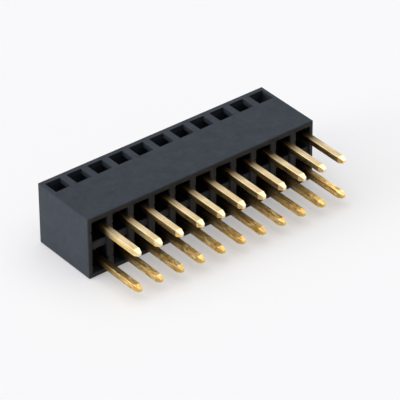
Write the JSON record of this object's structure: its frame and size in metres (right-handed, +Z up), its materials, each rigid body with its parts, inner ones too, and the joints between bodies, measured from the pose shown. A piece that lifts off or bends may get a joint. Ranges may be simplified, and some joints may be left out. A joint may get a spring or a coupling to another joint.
{
  "type": "bottom entry female header",
  "caption": "Two-row board socket lying on its long side: black moulded housing with windows and open cells, gold square solder tails with pointed ends.",
  "frame": {"origin": "centre of the grid of post entries, in the plane of the board side", "axes": "+X along the columns, -Y out of the board side along the tails, +Y towards the mating side, +Z up across the two rows, with the header lying on one long side"},
  "size_m": [0.0282, 0.0143, 0.007],
  "materials": {
    "housing": "black glass-filled polyester, fine matte moulded skin",
    "contacts": "gold-plated phosphor bronze, satin"
  },
  "bodies": {
    "root": {"housing": "housing", "contact_upper_01": "contacts", "contact_upper_02": "contacts", "contact_upper_03": "contacts", "contact_upper_04": "contacts", "contact_upper_05": "contacts", "contact_upper_06": "contacts", "contact_upper_07": "contacts", "contact_upper_08": "contacts", "contact_upper_09": "contacts", "contact_upper_10": "contacts", "contact_upper_11": "contacts", "contact_lower_01": "contacts", "contact_lower_02": "contacts", "contact_lower_03": "contacts", "contact_lower_04": "contacts", "contact_lower_05": "contacts", "contact_lower_06": "contacts", "contact_lower_07": "contacts", "contact_lower_08": "contacts", "contact_lower_09": "contacts", "contact_lower_10": "contacts", "contact_lower_11": "contacts"}
  },
  "joints": []
}
